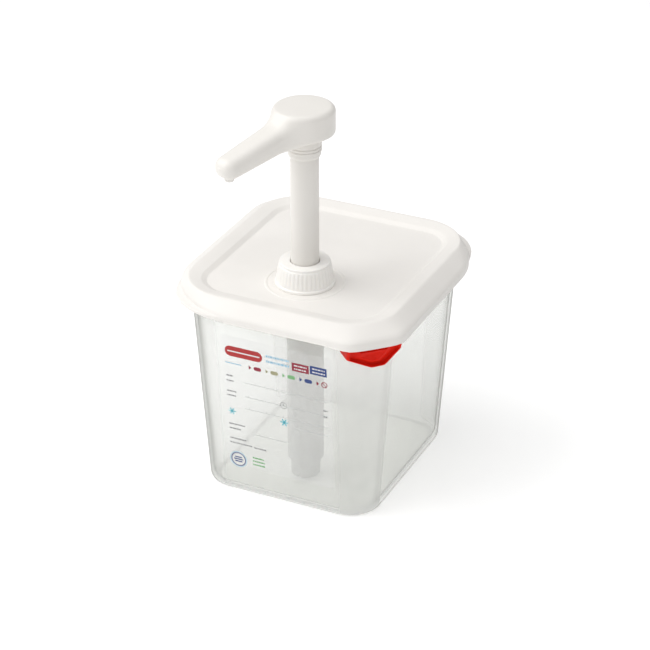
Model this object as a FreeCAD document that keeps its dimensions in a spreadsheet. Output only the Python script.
import FreeCAD, Part
import math
import os

import Sketcher

# A counter-top condiment pump: a 1/6-size food container with a press-on lid and a hand pump.
# Millimetres and degrees. +Z is up, the printed short wall faces -Y, and the origin is the
# centre of the container's base on the surface that it stands on.

SIZES = {
    # container
    "base_width": 119.0,
    "base_depth": 133.0,
    "base_corner": 21.0,
    "mouth_width": 138.3,
    "wall_gauge": 2.0,
    "floor_gauge": 2.8,
    "base_rounding": 4.5,
    "rim_width": 162.0,
    "rim_depth": 176.0,
    "rim_corner": 41.0,
    "rim_grip_corner": 60.0,
    "rim_gauge": 2.2,
    "rim_draw": 2.4,
    "rim_top": 139.4,
    "lip_gauge": 1.8,
    "lip_bottom": 133.6,
    # printed film on the front wall
    "film_width": 76.0,
    "film_bottom": 20.0,
    "film_top": 118.0,
    "film_gauge": 0.4,
    # colour clip under one rim corner
    "clip_top": 133.4,
    "clip_bottom": 116.8,
    "clip_left": 20.8,
    "clip_left_shoulder": 127.8,
    "clip_left_toe": 2.5,
    "clip_right": 17.9,
    "clip_right_shoulder": 128.8,
    "clip_right_toe": 7.5,
    "clip_reach": 41.5,
    "clip_lean": 5.0,
    "clip_gap": 0.3,
    "clip_rounding": 2.5,
    "tongue_half_width": 9.0,
    "tongue_back": 31.6,
    "tongue_front": 35.0,
    "tongue_height": 3.2,
    # lid
    "lid_width": 164.0,
    "lid_depth": 178.0,
    "lid_corner": 42.0,
    "lid_grip_corner": 61.0,
    "skirt_bottom": 134.5,
    "skirt_top": 140.0,
    "skirt_inset": 2.0,
    "shoulder_inset": 6.4,
    "shoulder_height": 143.0,
    "crest_inset": 11.5,
    "crest_height": 145.8,
    "panel_inset": 23.5,
    "panel_edge_inset": 20.0,
    "panel_height": 142.2,
    "lid_underside": 139.6,
    "lid_gap": 0.25,
    "crest_hollow_top": 142.6,
    "crest_hollow_outer": 8.0,
    "crest_hollow_inner": 20.5,
    "mouth_corner": 30.6,
    "plug_gap": 1.1,
    "plug_gauge": 1.8,
    "plug_bottom": 133.4,
    "pad_ring_radius": 25.6,
    "pad_ring_width": 1.4,
    "pad_ring_height": 0.5,
    "tab_radius": 41.0,
    "tab_x": 36.5,
    "tab_y": 47.5,
    "tab_lift": 0.4,
    "tab_gauge": 2.4,
    "pump_hole_radius": 14.3,
    # pump
    "pump_y": -31.0,
    "bore_radius": 10.2,
    "tube_radius": 11.8,
    "tube_bottom": 16.0,
    "tube_floor": 20.6,
    "neck_radius": 13.8,
    "neck_top": 151.4,
    "flange_radius": 19.0,
    "flange_gauge": 2.4,
    "washer_gauge": 1.2,
    "collar_radius": 19.0,
    "collar_lip_top": 143.8,
    "collar_rib_bottom": 144.4,
    "collar_base_radius": 18.3,
    "collar_waist_radius": 16.6,
    "collar_waist": 155.0,
    "collar_ring_radius": 16.1,
    "collar_ring_bottom": 155.8,
    "collar_mouth": 12.0,
    "collar_top": 157.6,
    "collar_bore": 14.05,
    "rib_count": 40.0,
    "rib_height": 0.5,
    "guide_flange_radius": 13.6,
    "guide_flange_top": 153.3,
    "guide_boss_radius": 11.3,
    "guide_top": 154.6,
    "guide_bottom": 138.9,
    "stem_radius": 8.9,
    "stem_bore": 6.4,
    "stem_bottom": 138.6,
    "stem_top": 241.0,
    "running_gap": 0.07,
    "wiper_radius": 10.2,
    "wiper_bottom": 152.4,
    "wiper_top": 153.6,
    "piston_bottom": 122.0,
    "piston_hole": 3.0,
    "piston_seat": 130.0,
    "piston_chamber": 4.7,
    "spigot_top": 146.0,
    "seal_root": 8.6,
    "seal_bottom": 125.5,
    "seal_top": 129.5,
    "cage_bottom": 140.0,
    "cage_top": 144.0,
    "cage_bore": 3.3,
    "ball_lift_gap": 0.05,
    "outlet_ball_radius": 4.0,
    "inlet_ball_radius": 4.5,
    "spring_radius": 8.3,
    "spring_wire": 1.3,
    "spring_turns": 15.0,
    "seat_top": 25.0,
    "seat_bore": 3.6,
    "boss_radius": 7.2,
    "boss_bore": 5.6,
    "boss_bottom": 10.0,
    "foot_radius": 9.5,
    "foot_bottom": 6.5,
    "foot_hole": 3.4,
    "foot_counterbore": 6.1,
    "foot_web": 8.0,
    "foot_seal_radius": 8.4,
    "foot_seal_bottom": 14.4,
    "strainer_bottom": 3.4,
    "strainer_bore": 4.6,
    "strainer_top": 7.8,
    "notch_height": 1.8,
    "notch_width": 2.6,
    # head
    "nut_radius": 10.65,
    "nut_root": 10.2,
    "nut_bottom": 228.6,
    "nut_taper_top": 230.0,
    "nut_ring_bottom": 232.4,
    "nut_ring_pitch": 2.0,
    "nut_top": 243.6,
    "nut_mouth": 6.9,
    "nut_clearance": 0.4,
    "nut_recess": 4.4,
    "head_radius": 19.0,
    "head_bottom": 244.0,
    "head_top": 260.5,
    "head_rounding": 2.8,
    "head_spigot_bottom": 232.0,
    "head_bore": 3.8,
    "head_channel_top": 255.0,
    "o_ring_root": 5.3,
    "o_ring_bottom": 236.0,
    "o_ring_top": 238.0,
    "arm_swing": 22.0,
    "arm_reach": 60.0,
    "arm_droop": 11.6,
    "arm_centre": 251.7,
    "arm_length": 69.0,
    "arm_width": 20.0,
    "arm_height": 17.4,
    "arm_corner": 6.4,
    "arm_taper": 1.6,
    "arm_tip_rounding": 5.0,
    "channel_radius": 3.6,
    "plug_start": 65.6,
    "plug_rounding": 2.0,
    "nozzle_radius": 3.1,
    "nozzle_bore": 1.9,
    "nozzle_bottom": 230.5,
    "nozzle_top": 235.8,
}

DOC = FreeCAD.newDocument("CondimentPump")
SHEET = DOC.addObject("Spreadsheet::Sheet", "Sizes")
NODES = []


class Dim:
    """A size together with the sheet expression that drives it."""

    def __init__(self, value, text=None):
        self.value = float(value)
        self.text = text if text else f"({value:g})"

    def join(self, other, sign, value):
        return Dim(value, f"({self.text} {sign} {other.text})")

    def __add__(self, other):
        other = dim(other)
        return self.join(other, "+", self.value + other.value)

    def __sub__(self, other):
        other = dim(other)
        return self.join(other, "-", self.value - other.value)

    def __mul__(self, other):
        other = dim(other)
        return self.join(other, "*", self.value * other.value)

    def __truediv__(self, other):
        other = dim(other)
        return self.join(other, "/", self.value / other.value)

    def __neg__(self):
        return dim(-1) * self


def slope(run, rise):
    """The angle of a wall that moves sideways by run over a height of rise."""
    run = dim(run)
    rise = dim(rise)
    return Dim(math.degrees(math.atan2(run.value, rise.value)), f"atan({run.text} / {rise.text})")


def dim(value):
    return value if isinstance(value, Dim) else Dim(value)


def size(alias):
    return Dim(SIZES[alias], f"Sizes.{alias}")


def fill_sheet():
    for row, (alias, value) in enumerate(SIZES.items(), 1):
        SHEET.set(f"A{row}", alias.replace("_", " "))
        SHEET.set(f"B{row}", f"{value:g}")
        SHEET.setAlias(f"B{row}", alias)
    DOC.recompute()


def bind(item, path, value):
    """Sets a property or constraint from a size, keeping its link to the sheet."""
    item.setExpression(path, dim(value).text)


def new_body(label, on_pump_axis=False):
    body = DOC.addObject("PartDesign::Body", label)
    body.Label = label
    if on_pump_axis:
        bind(body, "Placement.Base.y", size("pump_y"))
    NODES.append(body)
    return body


def plane_of(body, role):
    return next(item for item in body.Origin.OriginFeatures if item.Role == role)


def new_sketch(body, name, role="XY_Plane", height=0, rise=0):
    """A sketch on a plane of the body's origin: height along its normal, rise along its own Y."""
    sketch = body.newObject("Sketcher::SketchObject", name)
    sketch.AttachmentSupport = [(plane_of(body, role), "")]
    sketch.MapMode = "FlatFace"
    bind(sketch, "AttachmentOffset.Base.z", height)
    bind(sketch, "AttachmentOffset.Base.y", rise)
    return sketch


def constrain(sketch, name, value, *terms):
    """Adds a driving constraint with a name and binds it to a size."""
    sketch.addConstraint(Sketcher.Constraint(*terms, dim(value).value))
    sketch.renameConstraint(len(sketch.Constraints) - 1, name)
    bind(sketch, f"Constraints.{name}", value)


def add_polygon(sketch, points):
    """A closed outline through points given as pairs of sizes."""
    corners = [FreeCAD.Vector(dim(x).value, dim(y).value, 0) for x, y in points]
    count = len(corners)
    first = len(sketch.Geometry)
    for index in range(count):
        sketch.addGeometry(Part.LineSegment(corners[index], corners[(index + 1) % count]))
    for index in range(count):
        following = first + (index + 1) % count
        sketch.addConstraint(Sketcher.Constraint("Coincident", first + index, 2, following, 1))
    for index, (x, y) in enumerate(points):
        line = first + index
        constrain(sketch, f"across{line}", x, "DistanceX", -1, 1, line, 1)
        constrain(sketch, f"up{line}", y, "DistanceY", -1, 1, line, 1)


def add_circle(sketch, radius, across=0, up=0):
    """A circle with its centre across and up from the sketch's origin."""
    centre = FreeCAD.Vector(dim(across).value, dim(up).value, 0)
    circle = Part.Circle(centre, FreeCAD.Vector(0, 0, 1), dim(radius).value)
    index = sketch.addGeometry(circle)
    constrain(sketch, f"across{index}", across, "DistanceX", -1, 1, index, 3)
    constrain(sketch, f"up{index}", up, "DistanceY", -1, 1, index, 3)
    constrain(sketch, f"radius{index}", radius, "Radius", index)


def add_rounded_rectangle(sketch, width, depth, corner, grip_corner=None):
    """A rectangle with round corners, centred on the sketch's origin.

    The two corners at (+X, +Y) and (-X, -Y) take the grip radius where one is given.
    """
    grip_corner = corner if grip_corner is None else grip_corner
    half_width = dim(width).value / 2
    half_depth = dim(depth).value / 2
    first = len(sketch.Geometry)
    up = FreeCAD.Vector(0, 0, 1)
    quarters = [(1, -1, corner), (1, 1, grip_corner), (-1, 1, corner), (-1, -1, grip_corner)]
    arcs = []
    for quarter, (side_x, side_y, radius) in enumerate(quarters):
        radius = dim(radius).value
        centre = FreeCAD.Vector(side_x * (half_width - radius), side_y * (half_depth - radius), 0)
        begin = (quarter - 1) * math.pi / 2
        arcs.append(Part.ArcOfCircle(Part.Circle(centre, up, radius), begin, begin + math.pi / 2))
    for before, arc in zip(arcs[-1:] + arcs[:-1], arcs):
        sketch.addGeometry(Part.LineSegment(before.EndPoint, arc.StartPoint))
        sketch.addGeometry(arc)
    for step in range(8):
        following = first + (step + 1) % 8
        sketch.addConstraint(Sketcher.Constraint("Tangent", first + step, 2, following, 1))
    for side, direction in enumerate(("Horizontal", "Vertical", "Horizontal", "Vertical")):
        sketch.addConstraint(Sketcher.Constraint(direction, first + 2 * side))
    for arc, opposite in ((1, 5), (3, 7)):
        sketch.addConstraint(Sketcher.Constraint("Equal", first + arc, first + opposite))
    sketch.addConstraint(Sketcher.Constraint("Symmetric", first, 1, first + 4, 1, -1, 1))
    constrain(sketch, f"width{first}", width, "DistanceX", first + 6, 1, first + 2, 1)
    constrain(sketch, f"depth{first}", depth, "DistanceY", first, 1, first + 4, 1)
    constrain(sketch, f"corner{first}", corner, "Radius", first + 1)
    constrain(sketch, f"grip_corner{first}", grip_corner, "Radius", first + 3)


def volume_of(body):
    DOC.recompute()
    return body.Shape.Volume if body.Tip else 0.0


def add_feature(body, kind, name, setup, grows):
    """Adds one solid feature, and stops if it left the body's volume as it was."""
    before = volume_of(body)
    feature = body.newObject("PartDesign::" + kind, name)
    setup(feature)
    body.Tip = feature
    change = volume_of(body) - before
    if change * (1 if grows else -1) <= 0:
        raise RuntimeError(f"{body.Label}: {name} changed the volume by {change:.3f} mm3")
    return feature


def extrude(body, kind, name, sketch, length, taper, reverse):
    """A pad or pocket; its walls lean outwards where taper is positive."""

    def setup(feature):
        feature.Profile = sketch
        bind(feature, "Length", length)
        feature.Reversed = reverse
        if taper:
            bind(feature, "TaperAngle", taper)

    return add_feature(body, kind, name, setup, kind == "Pad")


def pad(body, name, sketch, length, taper=None):
    return extrude(body, "Pad", name, sketch, length, taper, False)


def pocket(body, name, sketch, length, taper=None, reverse=True):
    """Cuts along the sketch's normal, or against it where reverse is False."""
    return extrude(body, "Pocket", name, sketch, length, taper, reverse)


def turn(body, name, sketch, angle=360.0, cuts=False):
    """Turns a profile drawn in the XZ plane about the body's own Z axis."""

    def setup(feature):
        feature.Profile = sketch
        feature.ReferenceAxis = (sketch, ["V_Axis"])
        feature.Angle = angle

    return add_feature(body, "Groove" if cuts else "Revolution", name, setup, not cuts)


def repeat_about_axis(body, name, feature, count, grows):
    """Repeats a feature evenly around the body's own Z axis."""

    def setup(pattern):
        pattern.Originals = [feature]
        pattern.Axis = (plane_of(body, "Z_Axis"), [""])
        pattern.Angle = 360.0
        pattern.Occurrences = int(dim(count).value)

    return add_feature(body, "PolarPattern", name, setup, grows)


def round_edges(body, name, radius, chosen, grows=False):
    """Rounds the edges of the body's last feature whose bounding boxes pass the test."""
    base = body.Tip
    edges = enumerate(base.Shape.Edges, 1)
    names = [f"Edge{number}" for number, edge in edges if chosen(edge.BoundBox)]

    def setup(feature):
        feature.Base = (base, names)
        bind(feature, "Radius", radius)

    return add_feature(body, "Fillet", name, setup, grows)


def level(height):
    """A test for edges that lie flat at one height."""
    return lambda box: abs(box.ZMin - height) < 0.01 and abs(box.ZMax - height) < 0.01


def lathe(label, points):
    """A turned piece on the pump's axis, from a closed (radius, height) outline."""
    body = new_body(label, on_pump_axis=True)
    sketch = new_sketch(body, f"{label}_profile", "XZ_Plane")
    add_polygon(sketch, points)
    turn(body, f"{label}_turned", sketch)
    return body


def ring(label, inner, outer, bottom, top):
    return lathe(label, [(inner, bottom), (outer, bottom), (outer, top), (inner, top)])


def cut_notches(body, bottom, reach, count):
    """Radial notches in a turned piece, from a level upwards, out to a radius."""
    half = size("notch_width") / 2
    top = dim(bottom) + size("notch_height")
    sketch = new_sketch(body, f"{body.Label}_notch", "XZ_Plane")
    add_polygon(sketch, [(-half, bottom), (half, bottom), (half, top), (-half, top)])
    notch = pocket(body, f"{body.Label}_notch_cut", sketch, reach)
    repeat_about_axis(body, f"{body.Label}_notches", notch, count, grows=False)


def ball(label, radius, height):
    """A check ball on the pump's axis."""
    sphere = DOC.addObject("Part::Sphere", label)
    sphere.Label = label
    bind(sphere, "Radius", radius)
    bind(sphere, "Placement.Base.y", size("pump_y"))
    bind(sphere, "Placement.Base.z", height)
    NODES.append(sphere)


def outline(body, name, width, depth, corner, height, grip_corner=None):
    sketch = new_sketch(body, name, height=height)
    add_rounded_rectangle(sketch, width, depth, corner, grip_corner)
    return sketch


def wall_taper():
    return slope((size("mouth_width") - size("base_width")) / 2, size("rim_top"))


def rim_taper():
    return -slope(size("rim_draw"), size("rim_top") - size("lip_bottom"))


def make_container():
    body = new_body("container")
    lip = size("lip_bottom")
    flange_bottom = size("rim_top") - size("rim_gauge")
    rim = outline(body, "rim_outline", size("rim_width"), size("rim_depth"),
                  size("rim_corner"), lip, size("rim_grip_corner"))
    pad(body, "rim", rim, size("rim_top") - lip, taper=rim_taper())
    gauge = size("lip_gauge")
    under = outline(body, "rim_underside_outline", size("rim_width") - gauge * 2,
                    size("rim_depth") - gauge * 2, size("rim_corner") - gauge, lip,
                    size("rim_grip_corner") - gauge)
    pocket(body, "rim_underside", under, flange_bottom - lip, taper=rim_taper())
    base = outline(body, "base_outline", size("base_width"), size("base_depth"),
                   size("base_corner"), 0)
    pad(body, "tapered_wall", base, flange_bottom + size("rim_gauge") / 2, taper=wall_taper())
    round_edges(body, "base_edge", size("base_rounding"), level(0.0))
    wall = size("wall_gauge")
    floor = outline(body, "floor_outline", size("base_width") - wall * 2,
                    size("base_depth") - wall * 2, size("base_corner") - wall,
                    size("floor_gauge"))
    pocket(body, "cavity", floor, size("rim_top") - size("floor_gauge"), taper=wall_taper())
    round_edges(body, "floor_edge", size("base_rounding") - wall / 2,
                level(SIZES["floor_gauge"]), grows=True)


def make_label_film():
    """A thin film on the front wall, which leans outwards as it rises."""
    body = new_body("label_film")
    lean = (size("mouth_width") - size("base_width")) / 2 / size("rim_top")
    low = size("film_bottom")
    high = size("film_top")
    low_y = -(size("base_depth") / 2 + lean * low)
    high_y = -(size("base_depth") / 2 + lean * high)
    gauge = size("film_gauge")
    section = new_sketch(body, "film_section", "YZ_Plane", height=-(size("film_width") / 2))
    add_polygon(section, [(low_y, low), (low_y - gauge, low), (high_y - gauge, high),
                          (high_y, high)])
    pad(body, "film_sheet", section, size("film_width"))


def make_corner_clip():
    """A shield under the front right rim corner; its own X axis points out along the diagonal."""
    body = new_body("corner_clip")
    body.Placement.Rotation = FreeCAD.Rotation(FreeCAD.Vector(0, 0, 1), -45)
    bind(body, "Placement.Base.x", size("base_width") / 2 - size("base_corner"))
    bind(body, "Placement.Base.y", size("base_corner") - size("base_depth") / 2)
    left = size("clip_left")
    right = size("clip_right")
    top = size("clip_top")
    bottom = size("clip_bottom")
    reach = size("clip_reach")
    back = size("base_corner")
    shield = new_sketch(body, "shield_outline", "YZ_Plane", height=back)
    add_polygon(shield, [
        (-left, size("clip_left_shoulder")),
        (-size("clip_left_toe"), bottom),
        (size("clip_right_toe"), bottom),
        (right, size("clip_right_shoulder")),
        (right, top),
        (-left, top),
    ])
    pad(body, "shield", shield, reach - back)
    round_edges(body, "shield_corners", size("clip_rounding"),
                lambda box: box.XLength > 5 and box.ZMax < SIZES["clip_top"] - 1)
    tongue = new_sketch(body, "tongue_outline", height=top)
    side = size("tongue_half_width")
    rear = size("tongue_back")
    front = size("tongue_front")
    add_polygon(tongue, [(rear, -side), (front, -side), (front, side), (rear, side)])
    pad(body, "tongue", tongue, size("tongue_height"))
    lean = new_sketch(body, "lean_outline", "XZ_Plane", height=-(left + 1))
    add_polygon(lean, [(reach - size("clip_lean"), bottom), (reach + 1, bottom),
                       (reach + 1, top - 1), (reach, top - 1)])
    pocket(body, "leaning_face", lean, (left + 1) * 2)
    tangent = (size("mouth_width") - size("base_width")) / 2 / size("rim_top")
    radius = size("base_corner") + size("clip_gap")
    low = bottom - 1
    high = top + size("tongue_height") + 1
    corner = new_sketch(body, "container_corner", "XZ_Plane")
    add_polygon(corner, [(0, low), (radius + tangent * low, low),
                         (radius + tangent * high, high), (0, high)])
    turn(body, "corner_relief", corner, cuts=True)


def make_lid():
    body = new_body("lid")

    def section(name, inset, height):
        inset = dim(inset)
        return outline(body, name, size("lid_width") - inset * 2,
                       size("lid_depth") - inset * 2, size("lid_corner") - inset, height,
                       size("lid_grip_corner") - inset)

    steps = [
        (dim(0), size("skirt_bottom")),
        (size("skirt_inset"), size("skirt_top")),
        (size("shoulder_inset"), size("shoulder_height")),
        (size("crest_inset"), size("crest_height")),
    ]
    for number, (low_step, high_step) in enumerate(zip(steps, steps[1:]), 1):
        inset, low = low_step
        rise = high_step[1] - low
        band = section(f"band{number}_outline", inset, low)
        pad(body, f"band{number}", band, rise, taper=-slope(high_step[0] - inset, rise))

    panel = section("panel_outline", size("panel_inset"), size("panel_height"))
    depth = size("crest_height") - size("panel_height")
    lean = slope(size("panel_inset") - size("panel_edge_inset"), depth)
    pocket(body, "panel_recess", panel, depth, taper=lean)

    tab_bottom = size("skirt_bottom") + size("tab_lift")
    for number, side in enumerate((-1, 1), 1):
        tab = new_sketch(body, f"tab{number}_outline", height=tab_bottom)
        add_circle(tab, size("tab_radius"), size("tab_x") * side, size("tab_y") * side)
        pad(body, f"tab{number}", tab, size("tab_gauge"))

    gap = size("lid_gap")
    channel = outline(body, "rim_channel_outline", size("rim_width") + gap * 2,
                      size("rim_depth") + gap * 2, size("rim_corner") + gap,
                      size("skirt_bottom"), size("rim_grip_corner") + gap)
    pocket(body, "rim_channel", channel, size("lid_underside") - size("skirt_bottom"),
           taper=rim_taper())

    hollow = section("hollow_outline", size("crest_hollow_outer"), size("lid_underside"))
    inner = size("crest_hollow_inner")
    add_rounded_rectangle(hollow, size("lid_width") - inner * 2, size("lid_depth") - inner * 2,
                          size("lid_corner") - inner, size("lid_grip_corner") - inner)
    pocket(body, "crest_hollow", hollow, size("crest_hollow_top") - size("lid_underside"))

    inset = size("wall_gauge") + size("plug_gap")
    gauge = size("plug_gauge")
    width = size("mouth_width") - inset * 2
    depth = width + size("base_depth") - size("base_width")
    corner = size("mouth_corner") - inset
    plug = outline(body, "plug_outline", width, depth, corner, size("plug_bottom"))
    add_rounded_rectangle(plug, width - gauge * 2, depth - gauge * 2, corner - gauge)
    pad(body, "plug_wall", plug, size("crest_hollow_top") + 0.5 - size("plug_bottom"))

    mark = new_sketch(body, "pad_ring_outline", height=size("panel_height"))
    add_circle(mark, size("pad_ring_radius"), up=size("pump_y"))
    add_circle(mark, size("pad_ring_radius") - size("pad_ring_width"), up=size("pump_y"))
    pad(body, "pad_ring", mark, size("pad_ring_height"))

    hole = new_sketch(body, "pump_hole_outline", height=size("lid_underside") - 1)
    add_circle(hole, size("pump_hole_radius"), up=size("pump_y"))
    pocket(body, "pump_hole", hole, size("panel_height") + 1 - size("lid_underside") + 1)


def make_lid_collar():
    """The ribbed screw collar, whose top ring leaves a gap around the stem."""
    seat = size("panel_height")
    shoulder = size("guide_flange_top")
    body = lathe("lock_collar", [
        (size("collar_bore"), seat),
        (size("collar_radius"), seat),
        (size("collar_radius"), size("collar_lip_top")),
        (size("collar_base_radius"), size("collar_rib_bottom")),
        (size("collar_waist_radius"), size("collar_waist")),
        (size("collar_ring_radius"), size("collar_ring_bottom")),
        (size("collar_ring_radius"), size("collar_top")),
        (size("collar_mouth"), size("collar_top")),
        (size("collar_mouth"), shoulder),
        (size("collar_bore"), shoulder),
    ])
    height = size("rib_height")
    sketch = new_sketch(body, "rib_profile", "XZ_Plane")
    add_polygon(sketch, [
        (size("collar_base_radius") - height, size("collar_rib_bottom")),
        (size("collar_base_radius") + height, size("collar_rib_bottom")),
        (size("collar_waist_radius") + height, size("collar_waist")),
        (size("collar_waist_radius") - height, size("collar_waist")),
    ])
    share = 360.0 / SIZES["rib_count"] / 2
    rib = turn(body, "rib", sketch, angle=share)
    repeat_about_axis(body, "ribs", rib, size("rib_count"), grows=True)


def make_pump_below_lid():
    underside = size("lid_underside")
    washer_bottom = underside - size("washer_gauge")
    flange_bottom = washer_bottom - size("flange_gauge")
    bore = size("bore_radius")
    gap = size("running_gap")
    stem_hole = size("stem_radius") + gap
    ring("collar_washer", size("neck_radius") + 0.2, size("flange_radius"), washer_bottom,
         underside)
    lathe("pump_cylinder", [
        (size("boss_bore"), size("boss_bottom")),
        (size("boss_radius"), size("boss_bottom")),
        (size("boss_radius"), size("tube_bottom")),
        (size("tube_radius"), size("tube_bottom")),
        (size("tube_radius"), flange_bottom),
        (size("flange_radius"), flange_bottom),
        (size("flange_radius"), washer_bottom),
        (size("neck_radius"), washer_bottom),
        (size("neck_radius"), size("neck_top")),
        (bore, size("neck_top")),
        (bore, size("tube_floor")),
        (size("boss_bore"), size("tube_floor")),
    ])
    lathe("stem_guide", [
        (stem_hole, size("guide_bottom")),
        (bore - gap, size("guide_bottom")),
        (bore - gap, size("neck_top")),
        (size("guide_flange_radius"), size("neck_top")),
        (size("guide_flange_radius"), size("guide_flange_top")),
        (size("guide_boss_radius"), size("guide_flange_top")),
        (size("guide_boss_radius"), size("guide_top")),
        (stem_hole, size("guide_top")),
        (stem_hole, size("wiper_top")),
        (size("wiper_radius"), size("wiper_top")),
        (size("wiper_radius"), size("wiper_bottom")),
        (stem_hole, size("wiper_bottom")),
    ])
    ring("guide_wiper", stem_hole - 0.02, size("wiper_radius"), size("wiper_bottom"),
         size("wiper_top"))
    seat = ring("spring_seat", size("seat_bore"), bore - gap, size("tube_floor"),
                size("seat_top"))
    cut_notches(seat, size("tube_floor"), size("boss_bore") + 0.6, 4)
    lathe("foot_valve", [
        (size("foot_counterbore"), size("foot_bottom")),
        (size("foot_radius"), size("foot_bottom")),
        (size("foot_radius"), size("tube_bottom")),
        (size("foot_seal_radius"), size("tube_bottom")),
        (size("foot_seal_radius"), size("foot_seal_bottom")),
        (size("boss_radius") + gap, size("foot_seal_bottom")),
        (size("boss_radius") + gap, size("boss_bottom")),
        (size("foot_hole"), size("boss_bottom")),
        (size("foot_hole"), size("foot_web")),
        (size("foot_counterbore"), size("foot_web")),
    ])
    ring("foot_seal", size("boss_radius") + gap, size("foot_seal_radius"),
         size("foot_seal_bottom"), size("tube_bottom"))
    strainer = lathe("foot_strainer", [
        (size("strainer_bore"), size("strainer_bottom")),
        (size("foot_radius"), size("strainer_bottom")),
        (size("foot_radius"), size("foot_bottom")),
        (size("foot_counterbore") - gap, size("foot_bottom")),
        (size("foot_counterbore") - gap, size("strainer_top")),
        (size("strainer_bore"), size("strainer_top")),
    ])
    cut_notches(strainer, size("strainer_bottom"), size("foot_radius") + 1, 4)


def seated_height(seat, radius, hole):
    """The height of a ball's centre when it rests on the edge of a round hole."""
    radius = dim(radius)
    hole = dim(hole)
    drop = Dim(math.sqrt(radius.value ** 2 - hole.value ** 2),
               f"sqrt({radius.text} ^ 2 - {hole.text} ^ 2)")
    return dim(seat) + drop + size("ball_lift_gap")


def make_plunger():
    gap = size("running_gap")
    land = size("bore_radius") - gap
    ring("stem", size("stem_bore"), size("stem_radius"), size("stem_bottom"), size("stem_top"))
    lathe("piston", [
        (size("piston_hole"), size("piston_bottom")),
        (land, size("piston_bottom")),
        (land, size("seal_bottom")),
        (size("seal_root"), size("seal_bottom")),
        (size("seal_root"), size("seal_top")),
        (land, size("seal_top")),
        (land, size("stem_bottom")),
        (size("stem_bore") - gap, size("stem_bottom")),
        (size("stem_bore") - gap, size("spigot_top")),
        (size("piston_chamber"), size("spigot_top")),
        (size("piston_chamber"), size("piston_seat")),
        (size("piston_hole"), size("piston_seat")),
    ])
    ring("piston_seal", size("seal_root"), land + 0.02, size("seal_bottom"), size("seal_top"))
    cage = ring("ball_cage", size("cage_bore"), size("piston_chamber"), size("cage_bottom"),
                size("cage_top"))
    cut_notches(cage, size("cage_bottom"), size("piston_chamber") - 0.4, 4)
    ball("upper_ball", size("outlet_ball_radius"),
         seated_height(size("piston_seat"), size("outlet_ball_radius"), size("piston_hole")))
    ball("lower_ball", size("inlet_ball_radius"),
         seated_height(size("boss_bottom"), size("inlet_ball_radius"), size("foot_hole")))


def make_return_spring():
    """One coil of wire from the spring seat up to the piston."""
    body = new_body("return_spring", on_pump_axis=True)
    low = size("seat_top") + size("spring_wire") / 2
    span = size("piston_bottom") - size("seat_top") - size("spring_wire")
    sketch = new_sketch(body, "wire_section", "XZ_Plane")
    add_circle(sketch, size("spring_wire") / 2 * 0.98, across=size("spring_radius"), up=low)

    def setup(feature):
        feature.Profile = sketch
        feature.ReferenceAxis = (sketch, ["V_Axis"])
        feature.Mode = "pitch-height-angle"
        bind(feature, "Pitch", span / size("spring_turns"))
        bind(feature, "Height", span)

    add_feature(body, "AdditiveHelix", "coil", setup, True)


def make_neck_nut():
    """The ringed union on top of the stem, which holds the head's spigot."""
    root = size("nut_root")
    crown = size("nut_radius")
    bore = size("stem_radius") + 0.05
    points = [
        (bore, size("nut_bottom")),
        (bore + 0.5, size("nut_bottom")),
        (root, size("nut_taper_top")),
    ]
    for number in range(2):
        low = size("nut_ring_bottom") + size("nut_ring_pitch") * number
        points += [(root, low), (crown, low + 0.3), (crown, low + 1.1), (root, low + 1.4)]
    shoulder = size("nut_ring_bottom") + size("nut_ring_pitch") * 2
    points += [
        (root, shoulder),
        (crown, shoulder + 0.4),
        (crown, size("nut_top")),
        (size("nut_mouth"), size("nut_top")),
        (size("nut_mouth"), size("stem_top")),
        (bore, size("stem_top")),
    ]
    lathe("neck_nut", points)


def arm_sketch(body, name, along):
    """A sketch square to the drooping arm, at a distance along it from the pump's axis."""
    sketch = new_sketch(body, name, "XZ_Plane")
    sketch.AttachmentOffset = FreeCAD.Placement(
        FreeCAD.Vector(0, 0, 0), FreeCAD.Rotation(FreeCAD.Vector(1, 0, 0), SIZES["arm_droop"]))
    along = dim(along)
    bind(sketch, "AttachmentOffset.Rotation.Angle", size("arm_droop"))
    droop = size("arm_droop").text
    rise = Dim(0, f"({size('arm_centre').text} - {along.text} * sin({droop}))")
    reach = Dim(0, f"({along.text} * cos({droop}))")
    bind(sketch, "AttachmentOffset.Base.y", rise)
    bind(sketch, "AttachmentOffset.Base.z", reach)
    return sketch


def swing_with_head(body):
    body.Placement.Rotation = FreeCAD.Rotation(FreeCAD.Vector(0, 0, 1), -SIZES["arm_swing"])
    bind(body, "Placement.Rotation.Angle", -size("arm_swing"))


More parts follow.
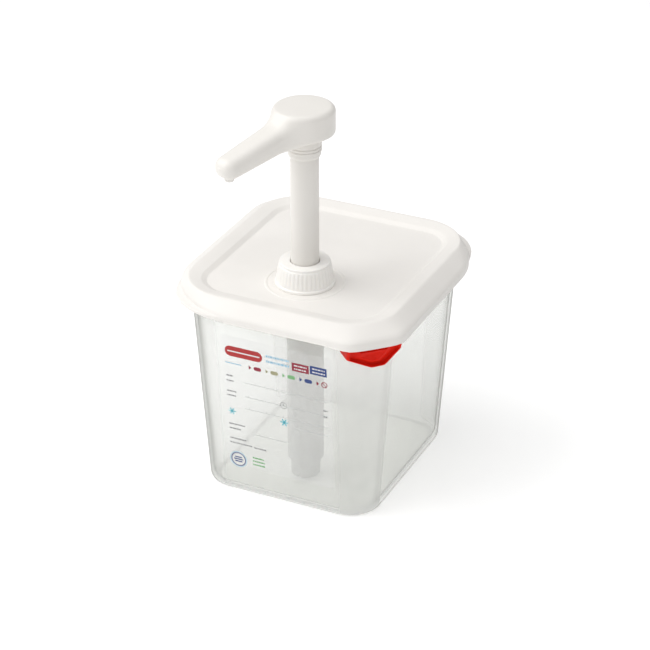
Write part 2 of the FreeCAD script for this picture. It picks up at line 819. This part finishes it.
def make_spout_head():
    spigot = size("stem_bore") - size("running_gap")
    bottom = size("head_bottom")
    body = lathe("spout_head", [
        (0, size("head_spigot_bottom")),
        (spigot, size("head_spigot_bottom")),
        (spigot, size("o_ring_bottom")),
        (size("o_ring_root"), size("o_ring_bottom")),
        (size("o_ring_root"), size("o_ring_top")),
        (spigot, size("o_ring_top")),
        (spigot, bottom),
        (size("head_radius"), bottom),
        (size("head_radius"), size("head_top")),
        (0, size("head_top")),
    ])
    swing_with_head(body)
    wide = SIZES["head_radius"] * 1.9
    round_edges(body, "head_edges", size("head_rounding"),
                lambda box: box.XLength > wide and box.ZLength < 0.01)
    arm = arm_sketch(body, "arm_section", 0)
    add_rounded_rectangle(arm, size("arm_width"), size("arm_height"), size("arm_corner"))
    pad(body, "arm", arm, size("arm_length"), taper=-size("arm_taper"))
    clear = size("nut_radius") + size("nut_clearance")
    recess = bottom - size("nut_recess")
    around_nut = new_sketch(body, "nut_recess_profile", "XZ_Plane")
    add_polygon(around_nut, [(spigot, recess), (clear, recess), (clear, bottom), (spigot, bottom)])
    turn(body, "nut_recess", around_nut, cuts=True)
    tip = -SIZES["arm_length"] * math.cos(math.radians(SIZES["arm_droop"])) + 4
    round_edges(body, "arm_tip", size("arm_tip_rounding"), lambda box: box.YMax < tip)
    channel = arm_sketch(body, "channel_section", 0)
    add_circle(channel, size("channel_radius"))
    pocket(body, "channel", channel, size("arm_length") + 2)
    riser = new_sketch(body, "riser_section", height=size("head_spigot_bottom") - 1)
    add_circle(riser, size("head_bore"))
    pocket(body, "riser", riser, size("head_channel_top") - size("head_spigot_bottom") + 1)
    socket = new_sketch(body, "nozzle_socket_section", height=size("nozzle_bottom") - 1)
    add_circle(socket, size("nozzle_radius"), up=-size("arm_reach"))
    pocket(body, "nozzle_socket", socket, size("nozzle_top") - size("nozzle_bottom") + 1)
    drop = new_sketch(body, "outlet_section", height=size("nozzle_top") - 1)
    add_circle(drop, size("nozzle_bore"), up=-size("arm_reach"))
    pocket(body, "outlet", drop, size("channel_radius") + 1)


def make_head_fittings():
    ring("head_o_ring", size("o_ring_root"), size("stem_bore") - size("running_gap") + 0.02,
         size("o_ring_bottom"), size("o_ring_top"))
    plug = new_body("channel_plug", on_pump_axis=True)
    swing_with_head(plug)
    section = arm_sketch(plug, "plug_section", size("plug_start"))
    add_circle(section, size("channel_radius"))
    pad(plug, "plug", section, size("arm_length") - size("plug_start"))
    far = -SIZES["arm_length"] * math.cos(math.radians(SIZES["arm_droop"])) + 1.5
    round_edges(plug, "plug_dome", size("plug_rounding"), lambda box: box.YMax < far)
    tip = lathe("nozzle_tip", [
        (size("nozzle_bore"), size("nozzle_bottom")),
        (size("nozzle_radius"), size("nozzle_bottom")),
        (size("nozzle_radius"), size("nozzle_top")),
        (size("nozzle_bore"), size("nozzle_top")),
    ])
    swing = size("arm_swing").text
    reach = size("arm_reach").text
    bind(tip, "Placement.Base.x", Dim(0, f"(0 - {reach} * sin({swing}))"))
    bind(tip, "Placement.Base.y", Dim(0, f"({size('pump_y').text} - {reach} * cos({swing}))"))


def check_document():
    """Stops if any object failed to compute or any piece isn't a valid solid."""
    DOC.recompute()
    failed = [item.Name for item in DOC.Objects
              if "Invalid" in item.State or "Error" in item.State]
    if failed:
        raise RuntimeError(f"objects failed: {failed}")
    for node in NODES:
        shape = node.Shape
        if shape.isNull() or not shape.isValid() or len(shape.Solids) != 1:
            raise RuntimeError(f"{node.Label} isn't one valid solid")


def write_parts():
    os.makedirs("parts", exist_ok=True)
    for node in NODES:
        node.Shape.exportStep(f"parts/{node.Label}.step")


fill_sheet()
make_container()
make_label_film()
make_corner_clip()
make_lid()
make_lid_collar()
make_pump_below_lid()
make_plunger()
make_return_spring()
make_neck_nut()
make_spout_head()
make_head_fittings()
check_document()
write_parts()
for node in NODES:
    box = node.Shape.BoundBox
    print(f"{node.Label:16s} {node.Shape.Volume:10.1f} mm3  z {box.ZMin:.1f} to {box.ZMax:.1f}")
